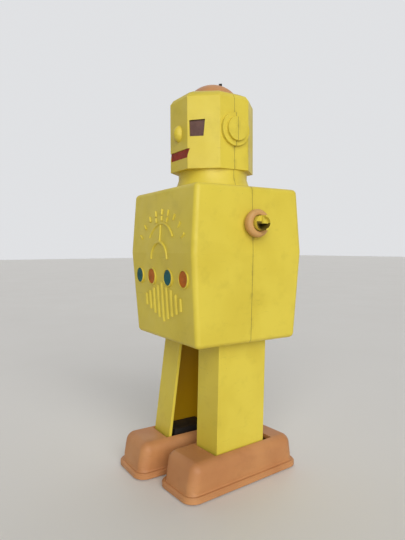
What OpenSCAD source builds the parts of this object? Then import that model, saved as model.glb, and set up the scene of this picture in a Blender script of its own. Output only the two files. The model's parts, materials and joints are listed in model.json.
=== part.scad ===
// Wind-up walking robot: moulded body, head, two legs in shoes, and the clockwork that drives them.
// Units are millimetres. +Z is up, the face looks along -Y, and the robot's left hand is at +X.
// The origin is on the floor under the middle of the whole outline.

/* [Torso] */
// Height of the torso's underside above the floor
torso_z = 98.7; // [98:0.1:102]
// Height of the torso
torso_h = 104.7; // [104:0.1:106]
// Height of the widest line above the torso's underside
bulge_h = 60.7; // [56:0.1:64]
// Width at the top edge
top_w = 91; // [90:0.5:93]
// Width at the widest line
mid_w = 93; // [92:0.5:96]
// Width at the bottom edge
bottom_w = 88.5; // [88:0.5:91]
// Depth at the top edge
top_d = 84; // [83:0.5:86]
// Depth at the widest line
mid_d = 90; // [88:0.5:92]
// Depth at the bottom edge
bottom_d = 82.5; // [82:0.5:85]
// Distance of the torso's middle behind the seam
torso_y = -1.2; // [-2:0.1:0]
// Rounding of the torso's edges
corner_r = 3.5; // [2:0.5:5]
// Wall thickness of the body mouldings
wall = 2; // [1.6:0.1:2.2]

/* [Head] */
// Width across the head's side faces
head_w = 52; // [50:1:54]
// Depth from the seam to the face
face_d = 29.5; // [28:0.5:30]
// Depth from the seam to the back of the head
nape_d = 27; // [26:0.5:29]
// Width of the flat face
face_w = 24; // [22:1:25]
// Length of the flat side of the head, front to back
side_l = 24; // [22:1:26]
// Height of the head's lower edge above the torso's top
head_gap = 13.5; // [12:0.5:15]
// Height of the head's straight walls
head_h = 48; // [46:1:50]
// Height of the dome's top above the head's walls
crown_h = 17; // [15:0.5:18]
// Distance of the neck's and the dome's middle behind the seam
crown_y = -1; // [-2:0.5:0]
// Radius of the neck under the head
neck_r = 25; // [24:0.5:25]

/* [Legs] */
// Distance from the middle of the robot to the middle of a leg
leg_x = 21.5; // [21.5:0.1:22]
// Width of a leg
leg_w = 23; // [22:0.5:23]
// Depth of a leg, front to back
leg_d = 42.5; // [40:0.5:43]
// Height of the hip pivot
hip_z = 123.4; // [123:0.1:124]
// Distance of the hip pivot behind the middle
hip_y = 2; // [1:0.5:2]
// Forward swing of the left leg as it stands
swing_left = 1.8; // [0:0.1:3]
// Forward swing of the right leg as it stands
swing_right = 8; // [6:0.1:9]
// Turn of the left toe outwards
toe_out_left = 4.4; // [0:0.1:4.4]

/* [Shoes] */
// Length of a shoe's rim
shoe_l = 100; // [98:1:102]
// Distance of a shoe's middle behind its ankle
shoe_y = 1.1; // [0:0.1:2]
// Width of a shoe's rim
shoe_w = 39.2; // [38.5:0.1:40]
// Height of a shoe above the floor
shoe_h = 24.4; // [24:0.1:25]
// Rim's overhang round the shoe
rim_out = 3; // [2.6:0.1:3.2]
// Gap between the floor and the rim
ground_gap = 0.8; // [0.5:0.1:1]

/* [Clockwork] */
// Gear tooth module
gear_m = 0.8; // [0.8:0.01:0.81]
// Teeth on the great wheel
great_teeth = 40; // [40:1:41]
// Teeth on the second wheel
second_teeth = 36; // [36:1:37]
// Teeth on the wheel that drives the governor
crank_teeth = 36; // [36:1:37]
// Teeth on the second and crank pinions
pinion_teeth = 10; // [9:1:10]
// Teeth on the governor's pinion
governor_teeth = 9; // [9:1:10]
// Throw of the crank pins
crank_throw = 3.3; // [2.5:0.1:3.4]
// Turns of the mainspring
spring_turns = 6; // [4:1:7]

/* [Hidden] */
$fn = 48;

// Small amounts: overrun of a cut, gap of a fixed fit, gap of a running fit, gap between free pieces
over = 1;
fixed_gap = 0.03;
run_gap = 0.06;
free_gap = 0.4;

// Torso
torso_top = torso_z + torso_h;
bulge_z = torso_z + bulge_h;
big = 400;

// Head
head_z = torso_top + head_gap;
head_top = head_z + head_h;
crown_top = head_top + crown_h;
roof_h = 6;
roof_in = 5;
roof_shoulder_h = 3.5;
roof_shoulder_in = 2;
dome_r = 18;
dome_base = head_top + roof_h;
ear_z = head_z + 27;
ear_r = 11.3;
ear_out = 2.2;
ear_inner_r = 8;

// Face
eye_z = head_z + 27;
eye_corners = [[-5.3, -5.3], [4, -5.2], [5.1, 5.9], [-5.6, 5.4]];
eye_back_half = 6.6;
eye_deep = 2;
eye_from_edge = 7;
eye_back = 1.8;
lens_t = 0.8;
mouth_z = head_z + 10.6;
mouth_h = 6;
mouth_deep = 1.2;
mouth_top_half = face_w / 2 + 1;
mouth_low_half = face_w / 2 - 0.4;
mouth_sunk = 0.5;
nose_z = head_z + 25.5;
nose_r = 5;
stub_x = 4;
stub_y = crown_y + 4.3;
spike_r = 1.2;

// Shoulders
shoulder_z = torso_top - 24.8;
shoulder_y = 0.5;
collar_r = 9.2;
collar_hole = 5.4;
collar_out = 6.5;
collar_round = 2.6;
collar_seat_x = side_x(shoulder_z) - 0.5;
stub_r = 4.9;
stub_end = collar_seat_x + 13;
stub_fill = 2.4;
stub_pin_r = 2.5;

// Legs
leg_wall = 2;
leg_top = 4;
leg_reach = 108.6;
leg_below = 5;
ankle_z = 15.4;
ankle_play = 1.1;
window_low = 19.3;
window_high = torso_z + 3;
hip_r = 2;
hip_half = 39;
retainer_t = 2;
fork_gap = 8.6;
fork_prong = 3;
fork_top = 30;
fork_floor = 17;
arm_t = 1.2;
swing_mid = (swing_left + swing_right) / 2;

// Shoes
shoe_wall = 2;
shoe_round = 7;
shoe_corner = 6;
rim_h = 3.8;
rim_corner = 9;
slot_front = 22.9;
slot_rear = 29;
slot_half = leg_w / 2 + 0.8;
shoe_fall = 1.8;
rim_slope = 1;
roller_r = 4;
roller_half = 9;
roller_y = 32;
axle_r = 1.2;
sole_t = 1.6;
block_half_x = 8;
block_half_y = 14.5;
block_top = 26.5;
block_base_h = 16;
block_cap_h = 1;
ankle_pin_r = 1.5;

// Clockwork: plates, arbors and layers along X
plate_in = 7.5;
plate_t = 1.2;
plate_out = plate_in + plate_t;
arbor_r = 1.5;
wind_r = 2;
crank_z = hip_z + 24;
crank_y = hip_y + (crank_z - hip_z) * tan(swing_mid);
great_y = 20;
great_z = hip_z + 36;
great_r = gear_m * great_teeth / 2;
second_r = gear_m * second_teeth / 2;
pinion_r = gear_m * pinion_teeth / 2;
crank_wheel_r = gear_m * crank_teeth / 2;
governor_r = gear_m * governor_teeth / 2;

// The second arbor stands where both of its pitch circles touch their mates
mesh_a = second_r + pinion_r;
mesh_b = great_r + pinion_r;
span_y = great_y - crank_y;
span_z = great_z - crank_z;
span = sqrt(span_y * span_y + span_z * span_z);
along = (mesh_a * mesh_a - mesh_b * mesh_b + span * span) / (2 * span);
aside = sqrt(mesh_a * mesh_a - along * along);
second_y = crank_y + along * span_y / span - aside * span_z / span;
second_z = crank_z + along * span_z / span + aside * span_y / span;
governor_angle = 190;
governor_y = crank_y + (crank_wheel_r + governor_r) * cos(governor_angle);
governor_z = crank_z + (crank_wheel_r + governor_r) * sin(governor_angle);

great_x = 0.6;
great_t = 1.4;
ratchet_x = 2.5;
ratchet_t = 1.2;
second_x = 4.4;
wheel_t = 1.2;
crank_wheel_x = -7;
spring_x = -5;
spring_w = 5;
fly_x = -4.5;
fly_t = 8;
fly_r = 7;
disc_x = 9;
disc_t = 1.4;
disc_r = 6;
crank_pin_r = 1.2;
crank_pin_end = 15.5;
ratchet_r = 6.4;
ratchet_teeth = 12;
click_pivot_r = 10.6;
click_pin_r = 0.8;
bracket_y = 37.4;
bracket_t = 1.2;
bracket_half = 30;
bracket_screw_x = 25;
bracket_screw_z = great_z;
bracket_screw_l = 4.5;

// Key on the robot's right
key_bush_r = 3.6;
key_hub_x = side_x(great_z) + 3.5;
key_hub_l = 10;
key_wing_x = key_hub_x + 5;
key_end = key_wing_x + 17;

// Pillars of the clockwork frame, as [y, z]
pillars = [[-21, hip_z + 14], [-12, hip_z + 54], [33, hip_z + 18], [33, hip_z + 54]];
// Screws that close the torso, as [x, z]
closing = [[39.6, torso_z + 9.5], [-39.6, torso_z + 9.5], [40, torso_top - 10], [-40, torso_top - 10]];
boss_r = 3;
screw_r = 1.1;
screw_head_r = 2.2;
screw_head_h = 1.4;
screw_slot = 0.6;
screw_seat_y = 30;
closing_screw_l = 38;

// The outline's middle, which the origin is moved under
function side_x(z) = z > bulge_z
    ? (mid_w + (top_w - mid_w) * (z - bulge_z) / (torso_top - bulge_z)) / 2
    : (bottom_w + (mid_w - bottom_w) * (z - torso_z) / bulge_h) / 2;
function half_depth(z) = z > bulge_z
    ? (mid_d + (top_d - mid_d) * (z - bulge_z) / (torso_top - bulge_z)) / 2
    : (bottom_d + (mid_d - bottom_d) * (z - torso_z) / bulge_h) / 2;
function front_y(z) = torso_y - half_depth(z);
function back_y(z) = torso_y + half_depth(z);

// Where a leg stands: its swing, its turn and its ankle
ankle_drop = hip_z - ankle_z;
function swing_of(side) = side > 0 ? swing_left : swing_right;
function turn_of(side) = side > 0 ? toe_out_left : 0;
function ankle_x(side) = side * leg_x + ankle_drop * tan(swing_of(side)) * sin(turn_of(side));
function ankle_y(side) = hip_y - ankle_drop * tan(swing_of(side)) * cos(turn_of(side));
left_rear = ankle_y(1) + (shoe_y + shoe_l / 2 - rim_corner) * cos(toe_out_left)
    + (shoe_w / 2 - rim_corner) * sin(toe_out_left) + rim_corner;
right_front = ankle_y(-1) + shoe_y - shoe_l / 2;
centre_x = (stub_end - key_end) / 2;
centre_y = (left_rear + right_front) / 2;

// Placing helpers
module at_origin() {
    translate([-centre_x, -centre_y, 0]) children();
}

module along_x(x, y, z) {
    translate([x, y, z]) rotate([90, 0, 90]) children();
}

module rod_x(x0, x1, y, z, r) {
    along_x(x0, y, z) cylinder(h = x1 - x0, r = r);
}

module mirrored(side) {
    mirror([side < 0 ? 1 : 0, 0, 0]) children();
}

module half_space(front) {
    translate([-big / 2, front ? -big : 0, -big / 2]) cube([big, big, big * 2]);
}

// A leg's own frame: origin at the hip pivot, swung forwards and turned
module in_leg(side) {
    translate([side * leg_x, hip_y, hip_z]) rotate([0, 0, turn_of(side)]) rotate([-swing_of(side), 0, 0])
        children();
}

// A shoe's own frame: origin on the floor under the ankle
module in_shoe(side) {
    translate([ankle_x(side), ankle_y(side), 0]) rotate([0, 0, turn_of(side)]) children();
}

// Torso mouldings
module torso_slab(w, d, z) {
    for (x = [-1, 1], y = [-1, 1])
        translate([x * (w / 2 - corner_r), torso_y + y * (d / 2 - corner_r), z])
            sphere(r = corner_r, $fn = 32);
}

module torso_outside() {
    hull() {
        torso_slab(bottom_w, bottom_d, torso_z + corner_r);
        torso_slab(mid_w, mid_d, bulge_z);
        torso_slab(top_w, top_d, torso_top - corner_r);
    }
}

module profile_prism(bottom, mid, top) {
    points = [
        [-bottom / 2 + wall, torso_z + wall], [bottom / 2 - wall, torso_z + wall],
        [mid / 2 - wall, bulge_z], [top / 2 - wall, torso_top - wall],
        [-top / 2 + wall, torso_top - wall], [-mid / 2 + wall, bulge_z]
    ];
    rotate([90, 0, 0]) linear_extrude(height = big, center = true) polygon(points);
}

module torso_inside() {
    intersection() {
        profile_prism(bottom_w, mid_w, top_w);
        translate([0, torso_y, 0]) rotate([0, 0, 90]) profile_prism(bottom_d, mid_d, top_d);
    }
}

module leg_slots() {
    for (side = [-1, 1])
        translate([side * leg_x - leg_w / 2 - 2.8, -28, torso_z - over])
            cube([leg_w + 5.6, 56, wall + 2 * over]);
}

module neck_hole() {
    translate([0, crown_y, torso_top - wall - over]) cylinder(h = wall + 2 * over, r = neck_r - 3, $fn = 96);
}

module torso_half(front) {
    difference() {
        intersection() {
            torso_outside();
            half_space(front);
        }
        torso_inside();
        leg_slots();
        neck_hole();
        for (side = [-1, 1])
            rod_x(side * big / 4 - big / 4, side * big / 4 + big / 4, shoulder_y, shoulder_z,
                stub_pin_r + run_gap);
    }
}

// The front face's own frame at a height: X across, Y up the face, Z outwards
module on_front(x, z) {
    lean = z > bulge_z
        ? -atan2((mid_d - top_d) / 2, torso_top - bulge_z)
        : atan2((mid_d - bottom_d) / 2, bulge_h);
    translate([x, front_y(z), z]) rotate([90 + lean, 0, 0]) children();
}

// Raised strokes are rods sunk into the face
module stroke(w, h, proud) {
    translate([0, h / 2, proud - w / 2]) rotate([90, 0, 0]) cylinder(h = h, r = w / 2, $fn = 16);
}

module ring_stroke(r, w, from, sweep, proud) {
    rotate([0, 0, from]) rotate_extrude(angle = sweep, $fn = 72)
        translate([r, proud - w / 2]) circle(r = w / 2, $fn = 16);
}

// Raised pointer dial on the upper chest
dial_x = 2;
dial_z = bulge_z + 0.6;
dial_proud = 0.8;
dial_w = 1.6;
mark_r = 36;
mark_drop = 8.4;

module dial() {
    on_front(dial_x, dial_z) {
        for (a = [-58 : 14.5 : 58])
            translate([0, -mark_drop, 0]) rotate([0, 0, a]) translate([0, mark_r, 0])
                stroke(dial_w, 4, dial_proud);
        for (a = [-20, 0, 20]) rotate([0, 0, a]) translate([0, 23.2, 0]) stroke(dial_w, 3.2, dial_proud);
        ring_stroke(19.7, dial_w, 31, 118, dial_proud);
        translate([-1, 12.8, 0]) stroke(dial_w, 12, dial_proud);
    }
}

// Arch with a middle leg under the dial's pointer, upright across the widest line
arch_x = 0.2;
arch_z = bulge_z - 4.3;
arch_r = 11.75;
arch_w = 2;

module dial_arch() {
    translate([arch_x, front_y(bulge_z), arch_z]) rotate([90, 0, 0]) {
        ring_stroke(arch_r, arch_w, 0, 180, dial_proud);
        translate([-0.6, arch_r / 2, 0]) stroke(arch_w, arch_r, dial_proud);
    }
}

// Nine upright ribs whose ends follow a diamond
rib_x = 1.8;
rib_z = torso_z + 26.9;
rib_pitch = 6.24;
rib_w = 3;
rib_proud = 1;
rib_half = 13.6;
rib_step = 2.32;

module chest_ribs() {
    on_front(rib_x, rib_z)
        for (i = [-4 : 4])
            translate([i * rib_pitch, 0, 0]) stroke(rib_w, 2 * (rib_half - rib_step * abs(i)), rib_proud);
}

// Raised rings round the four lamps, by place across the chest
lamp_z = torso_z + 44.1;
lamp_x = [-31.7, -12.1, 11.9, 32.9];
lamp_r = 5.4;
lamp_rim = 0.8;
lamp_proud = 0.8;
lamp_t = 2;
lamp_out = 0.5;

module lamp_rims() {
    for (x = lamp_x)
        translate([x, front_y(lamp_z) - lamp_proud, lamp_z]) rotate([-90, 0, 0]) difference() {
            cylinder(h = lamp_proud + 0.8, r = lamp_r + lamp_rim);
            translate([0, 0, -over]) cylinder(h = big, r = lamp_r + fixed_gap);
        }
}

module lamp(i, tint) {
    color(tint) translate([lamp_x[i], front_y(lamp_z) - lamp_out, lamp_z]) rotate([-90, 0, 0])
        cylinder(h = lamp_t, r = lamp_r);
}

module torso_front() {
    color("gold") difference() {
        union() {
            torso_half(true);
            dial();
            dial_arch();
            chest_ribs();
            lamp_rims();
            for (c = closing)
                translate([c[0], 0, c[1]]) rotate([90, 0, 0]) cylinder(h = -front_y(c[1]) - 1, r = boss_r);
        }
        for (c = closing)
            translate([c[0], over, c[1]]) rotate([90, 0, 0]) cylinder(h = 12, r = screw_r + fixed_gap);
        for (x = lamp_x)
            translate([x, front_y(lamp_z) - lamp_out, lamp_z]) rotate([-90, 0, 0])
                cylinder(h = lamp_t + fixed_gap, r = lamp_r + fixed_gap);
    }
}

module torso_back() {
    color("gold") difference() {
        union() {
            torso_half(false);
            for (c = closing)
                translate([c[0], 0, c[1]]) rotate([-90, 0, 0]) cylinder(h = back_y(c[1]) - 1, r = boss_r);
            for (side = [-1, 1]) {
                translate([side * bracket_screw_x, bracket_y + bracket_t, bracket_screw_z])
                    rotate([-90, 0, 0])
                    cylinder(h = back_y(bracket_screw_z) - bracket_y - 2, r = boss_r);
            }
        }
        for (c = closing) {
            translate([c[0], -over, c[1]]) rotate([-90, 0, 0]) cylinder(h = big, r = screw_r + 0.2);
            translate([c[0], screw_seat_y, c[1]]) rotate([-90, 0, 0])
                cylinder(h = big, r = screw_head_r + 0.2);
        }
        for (side = [-1, 1])
            translate([side * bracket_screw_x, bracket_y, bracket_screw_z]) rotate([-90, 0, 0])
                cylinder(h = bracket_screw_l + free_gap, r = screw_r + fixed_gap);
        rod_x(-big, 0, great_y, great_z, key_bush_r + fixed_gap);
    }
}

module screw_y(x, y, z, length) {
    translate([x, y, z]) rotate([90, 0, 0]) difference() {
        union() {
            cylinder(h = length, r = screw_r);
            translate([0, 0, -screw_head_h]) cylinder(h = screw_head_h, r = screw_head_r);
        }
        translate([-screw_head_r, -screw_slot / 2, -screw_head_h - over])
            cube([2 * screw_head_r, screw_slot, over + screw_slot]);
    }
}

module torso_screws() {
    color("silver") for (c = closing) screw_y(c[0], screw_seat_y + fixed_gap, c[1], closing_screw_l);
}

// Head mouldings
module head_octagon(inset) {
    w = head_w / 2 - inset;
    front = inset - face_d;
    back = nape_d - inset;
    f = face_w / 2 - inset * 0.5;
    s = side_l / 2 - inset * 0.5;
    polygon([
        [-f, front], [f, front], [w, -s], [w, s], [f, back], [-f, back], [-w, s], [-w, -s]
    ]);
}

module head_layer(z, h, inset) {
    translate([0, 0, z]) linear_extrude(height = h) head_octagon(inset);
}

module head_roof() {
    hull() {
        head_layer(head_top - 0.01, 0.5, 0);
        head_layer(head_top + roof_shoulder_h, 0.01, roof_shoulder_in);
        head_layer(head_top + roof_h - 1, 1, roof_in + 2);
    }
}

module head_hollow() {
    hull() {
        head_layer(head_z + wall + 1, head_h - wall - 1, wall);
        head_layer(head_top + roof_h - wall, 0.01, roof_in + wall + 2);
    }
}

module neck_shape(extra) {
    translate([0, crown_y, torso_top]) rotate_extrude($fn = 96)
        polygon([
            [0, 0.03], [neck_r + 3 - extra, 0.03], [neck_r - extra, head_gap * 0.6],
            [neck_r - extra, head_gap + wall + 1.01], [0, head_gap + wall + 1.01]
        ]);
}

module ears() {
    for (side = [-1, 1]) mirrored(side) {
        rod_x(head_w / 2 - 1, head_w / 2 + ear_out, 0, ear_z, ear_r);
        rod_x(head_w / 2, head_w / 2 + 2 * ear_out, 0, ear_z, ear_inner_r);
    }
}

// The diagonal face beside the flat face, with X along it from the face's edge
module on_cheek(side) {
    turn = atan2(face_d - side_l / 2, head_w / 2 - face_w / 2);
    mirrored(side) translate([face_w / 2, -face_d, 0]) rotate([0, 0, turn]) children();
}

module eye_shape(grow, deep) {
    translate([eye_from_edge, deep, eye_z]) rotate([90, 0, 0]) linear_extrude(height = deep + over)
        offset(delta = grow) polygon(eye_corners);
}

// Thickening behind an eye, so that its recess has a floor
module eye_backing() {
    translate([eye_from_edge - eye_back_half, 1, eye_z - eye_back_half])
        cube([2 * eye_back_half, eye_deep + eye_back - 1, 2 * eye_back_half]);
}

// Band across the face that runs a little way round both of its edges, between two depths
module mouth_shape(grow, from, to) {
    half = mouth_h / 2 + grow;
    top = mouth_top_half + grow;
    low = mouth_low_half + grow;
    intersection() {
        translate([0, -face_d + 4, mouth_z]) rotate([90, 0, 0]) linear_extrude(height = 4 + over)
            polygon([[-low, -half], [low, -half], [top, half], [-top, half]]);
        difference() {
            head_layer(head_z, head_h, from);
            head_layer(head_z - over, head_h + 2 * over, to);
        }
    }
}

module head_half(front) {
    difference() {
        intersection() {
            union() {
                head_layer(head_z, head_h, 0);
                head_roof();
                neck_shape(0);
                ears();
            }
            half_space(front);
        }
        head_hollow();
        neck_shape(wall);
        translate([0, crown_y, dome_base - 4]) cylinder(h = 10, r = dome_r - 2);
    }
}

module head_front() {
    color("gold") {
        difference() {
            union() {
                head_half(true);
                for (side = [-1, 1]) on_cheek(side) eye_backing();
            }
            for (side = [-1, 1]) on_cheek(side) eye_shape(0, eye_deep);
            mouth_shape(0, -over, mouth_deep);
        }
        translate([0, 1 - face_d, nose_z]) scale([0.9, 1, 1.2]) sphere(r = nose_r, $fn = 32);
    }
}

module head_back() {
    color("gold") head_half(false);
}

module eye_lenses() {
    color("rosybrown") for (side = [-1, 1]) on_cheek(side) intersection() {
        eye_shape(-fixed_gap, eye_deep);
        translate([-big / 2, eye_deep - lens_t, 0]) cube([big, lens_t - fixed_gap, big]);
    }
}

module mouth_insert() {
    color("firebrick") mouth_shape(-fixed_gap, mouth_sunk, mouth_deep - fixed_gap);
}

dome_cap_h = crown_top - dome_base - 1.5;
dome_ball_r = (dome_r * dome_r + dome_cap_h * dome_cap_h) / (2 * dome_cap_h);

module dome_profile(inset) {
    intersection() {
        translate([0, dome_cap_h - dome_ball_r]) circle(r = dome_ball_r - inset, $fn = 128);
        square([dome_r, dome_cap_h]);
    }
}

module head_dome() {
    color("sandybrown") translate([0, crown_y, dome_base + fixed_gap]) difference() {
        rotate_extrude($fn = 96) difference() {
            dome_profile(0);
            translate([0, -over]) dome_profile(wall);
        }
        for (x = [-1, 1])
            translate([x * stub_x, stub_y - crown_y, 0]) cylinder(h = big, r = spike_r + fixed_gap);
    }
}

// Two snapped-off spikes on the dome
module antenna_stubs() {
    color("dimgray") for (x = [-1, 1])
        translate([x * stub_x, stub_y, dome_base + 2]) difference() {
            cylinder(h = dome_cap_h - (x > 0 ? 0.4 : 0.8), r = spike_r);
            translate([-2, -2, dome_cap_h - 0.6]) rotate([x * 14, 10, 0]) cube([6, 6, 3]);
        }
}

// Shoulders
module shoulder_collar() {
    rotate([90, 0, 90]) rotate_extrude($fn = 64) hull() {
        translate([collar_r - collar_round, collar_round + 0.6]) circle(r = collar_round, $fn = 32);
        translate([collar_r - collar_round, collar_out - collar_round]) circle(r = collar_round, $fn = 32);
        translate([collar_hole + 0.4, 0]) square([2, collar_out - 1.2]);
    }
}

module collar_at(side) {
    color("sandybrown") mirrored(side) difference() {
        translate([side_x(shoulder_z) + 0.6, shoulder_y, shoulder_z]) shoulder_collar();
        rod_x(0, big, shoulder_y, shoulder_z, collar_hole);
    }
}

// Snapped-off upper end of an arm: a broken tube with a web across it, on its pivot pin
module arm_stub(side) {
    start = side_x(shoulder_z) + 1;
    color("gold") mirrored(side) difference() {
        union() {
            rod_x(start, stub_end, shoulder_y, shoulder_z, stub_r);
            rod_x(36, start + 1, shoulder_y, shoulder_z, stub_pin_r);
            rod_x(37, 39, shoulder_y, shoulder_z, stub_pin_r + 1.2);
        }
        difference() {
            rod_x(start + 1.5, stub_end + over, shoulder_y, shoulder_z, stub_r - 1);
            translate([start, shoulder_y - 6, shoulder_z - 0.4]) cube([stub_end - start - stub_fill, 12, 8]);
        }
        translate([stub_end - 2.2, shoulder_y - 8, shoulder_z - 8]) rotate([0, 0, 10]) cube([6, 8, 9]);
        translate([stub_end - 3.2, shoulder_y - 8, shoulder_z + 1]) rotate([0, 0, 6]) cube([6, 8, 9]);
    }
}

// Hips
module hip_shaft() {
    color("silver") rod_x(-hip_half, hip_half, hip_y, hip_z, hip_r);
}

module hip_retainers() {
    color("dimgray") for (side = [-1, 1]) mirrored(side) difference() {
        rod_x(hip_half - 1.5 - retainer_t, hip_half - 1.5, hip_y, hip_z, 4);
        rod_x(0, big, hip_y, hip_z, hip_r + fixed_gap);
    }
}

// Legs: channels whose inner side is open from the shoe up into the torso
module leg_shell(side) {
    low = -leg_reach - leg_below;
    open_x = side > 0 ? -leg_w : leg_w / 2 - leg_wall - over;
    color("gold") difference() {
        in_leg(side) difference() {
            translate([-leg_w / 2, -leg_d / 2, low]) cube([leg_w, leg_d, leg_top - low]);
            translate([-leg_w / 2 + leg_wall, -leg_d / 2 + leg_wall, low - over])
                cube([leg_w - 2 * leg_wall, leg_d - 2 * leg_wall, leg_top - low + 2 * over]);
            translate([open_x, -leg_d / 2 + leg_wall, window_low - hip_z])
                cube([leg_w / 2 + leg_wall + over, leg_d - 2 * leg_wall, window_high - window_low]);
            hull() for (dz = [-ankle_play, ankle_play])
                translate([-leg_w, 0, -leg_reach + dz]) rotate([0, 90, 0])
                    cylinder(h = 2 * leg_w, r = ankle_pin_r + 1, $fn = 32);
        }
        rod_x(-big, big, hip_y, hip_z, hip_r + run_gap);
    }
}

// Steel arm inside a leg, with an open fork round the crank pin
module leg_arm(side) {
    inner = side > 0 ? -leg_w / 2 + leg_wall + fixed_gap : leg_w / 2 - leg_wall - fixed_gap - arm_t;
    half = fork_gap + fork_prong;
    color("silver") difference() {
        in_leg(side) translate([inner, 0, 0]) difference() {
            translate([0, -half, -20]) cube([arm_t, 2 * half, fork_top + 20]);
            translate([-over, -fork_gap, fork_floor]) cube([arm_t + 2 * over, 2 * fork_gap, fork_top]);
        }
        rod_x(-big, big, hip_y, hip_z, hip_r + run_gap);
    }
}

// Shoes
module rounded_plan(l, w, r) {
    polygon([
        for (c = [[1, 1, 0], [-1, 1, 90], [-1, -1, 180], [1, -1, 270]], a = [0 : 10 : 90])
            [c[0] * (w / 2 - r) + r * cos(c[2] + a), c[1] * (l / 2 - r) + r * sin(c[2] + a)]
    ]);
}

module shoe_body(inset) {
    l = shoe_l - 2 * rim_out - 2 * inset;
    w = shoe_w - 2 * rim_out - 2 * inset;
    r = shoe_corner - inset * 0.6;
    top_z = shoe_h - inset - shoe_round;
    translate([0, shoe_y, 0]) hull() {
        translate([0, 0, ground_gap]) linear_extrude(height = 8) rounded_plan(l, w, r);
        for (x = [-1, 1], y = [-1, 1])
            translate([x * (w / 2 - shoe_round + 1), y * (l / 2 - shoe_round - shoe_fall), top_z])
                sphere(r = shoe_round - 0.5 * inset, $fn = 24);
    }
}

// One level of the rim, drawn in from its outermost line
module rim_layer(z, h, inset) {
    translate([0, shoe_y, z]) linear_extrude(height = h)
        rounded_plan(shoe_l - 2 * inset, shoe_w - 2 * inset, rim_corner - inset);
}

// Rim with a sloped upper edge, and a flare from it up to the shoe's side
module shoe_rim() {
    rim_top = ground_gap + rim_h;
    hull() {
        rim_layer(ground_gap, rim_h - rim_slope, 0);
        rim_layer(rim_top - 0.01, 0.01, rim_slope);
    }
    hull() {
        rim_layer(rim_top - 0.02, 0.02, rim_out - 0.8);
        rim_layer(rim_top + 1.4, 0.01, rim_out);
    }
}

module shoe(side) {
    color("sandybrown") difference() {
        in_shoe(side) difference() {
            union() {
                shoe_body(0);
                shoe_rim();
            }
            translate([0, 0, -0.01]) shoe_body(shoe_wall);
            translate([-slot_half, -slot_front, 9]) cube([2 * slot_half, slot_front + slot_rear, shoe_h]);
        }
    }
}

module sole_plate(side) {
    plan_l = shoe_l - 2 * rim_out - 2 * shoe_wall - 0.2;
    plan_w = shoe_w - 2 * rim_out - 2 * shoe_wall - 0.2;
    color("dimgray") in_shoe(side) difference() {
        union() {
            translate([0, shoe_y, ground_gap]) linear_extrude(height = sole_t)
                rounded_plan(plan_l, plan_w, shoe_corner - 0.6 * shoe_wall + 0.3);
            for (y = [-1, 1], x = [-1, 1])
                translate([x * (roller_half + 1.9) - 1.2, y * roller_y - 3, ground_gap]) cube([2.4, 6, 6.5]);
        }
        for (y = [-1, 1]) {
            translate([-roller_half - 0.7, y * roller_y - roller_r - 0.7, -over])
                cube([2 * roller_half + 1.4, 2 * roller_r + 1.4, 10]);
            translate([-roller_half - 5, y * roller_y, roller_r]) rotate([0, 90, 0])
                cylinder(h = 2 * roller_half + 10, r = axle_r + run_gap);
        }
    }
}

module roller(side, place) {
    color("gray") in_shoe(side) translate([0, place * roller_y, roller_r]) rotate([0, 90, 0]) {
        translate([0, 0, -roller_half]) cylinder(h = 2 * roller_half, r = roller_r);
        translate([0, 0, -roller_half - 2.6]) cylinder(h = 2 * roller_half + 5.2, r = axle_r);
    }
}

// Black block that carries the ankle pin up inside the leg
module ankle_block(side) {
    color("black") difference() {
        in_shoe(side) hull() {
            translate([-block_half_x, -block_half_y, ground_gap + sole_t + fixed_gap])
                cube([2 * block_half_x, 2 * block_half_y, block_base_h]);
            translate([-block_half_x, -block_half_y + 1, block_top - block_cap_h])
                cube([2 * block_half_x, 2 * block_half_y - 2, block_cap_h]);
        }
        ankle_rod(side, ankle_pin_r + fixed_gap, leg_w);
    }
}

module ankle_rod(side, r, half) {
    rod_x(ankle_x(side) - half, ankle_x(side) + half, ankle_y(side), ankle_z, r);
}

module ankle_pin(side) {
    color("silver") ankle_rod(side, ankle_pin_r, leg_w / 2 + 0.3);
}

// Clockwork frame
module plate_outline() {
    polygon([
        [-5, hip_z - 8], [9, hip_z - 8], [9, hip_z + 10], [bracket_y, hip_z + 14],
        [bracket_y, hip_z + 58], [12, hip_z + 62], [-14, hip_z + 60], [-24, hip_z + 26],
        [-24, hip_z + 12], [-5, hip_z + 10]
    ]);
}

module frame_plate(side) {
    color("lightsteelblue") mirrored(side) difference() {
        along_x(plate_in, 0, 0) linear_extrude(height = plate_t) plate_outline();
        rod_x(0, big, hip_y, hip_z, hip_r + fixed_gap);
        rod_x(0, big, crank_y, crank_z, arbor_r + run_gap);
        rod_x(0, big, second_y, second_z, arbor_r + run_gap);
        rod_x(0, big, great_y, great_z, wind_r + run_gap);
        rod_x(0, big, governor_y, governor_z, arbor_r + run_gap);
        for (p = pillars) rod_x(0, big, p[0], p[1], 1 + fixed_gap);
    }
}

module frame_pillars() {
    color("silver") for (p = pillars) {
        rod_x(-plate_in, plate_in, p[0], p[1], 1.8);
        rod_x(-plate_out - 0.8, plate_out + 0.8, p[0], p[1], 1);
    }
}

module frame_bracket() {
    color("lightsteelblue") difference() {
        translate([-bracket_half, bracket_y + fixed_gap, great_z - 8])
            cube([2 * bracket_half, bracket_t - 2 * fixed_gap, 16]);
        for (side = [-1, 1])
            translate([side * bracket_screw_x, 0, bracket_screw_z]) rotate([-90, 0, 0])
                cylinder(h = big, r = screw_r + fixed_gap);
    }
}

module bracket_screws() {
    color("silver") for (side = [-1, 1])
        translate([side * bracket_screw_x, bracket_y, bracket_screw_z]) rotate([-90, 0, 0]) {
            translate([0, 0, -screw_head_h]) cylinder(h = screw_head_h, r = screw_head_r);
            cylinder(h = bracket_screw_l, r = screw_r);
        }
}

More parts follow.
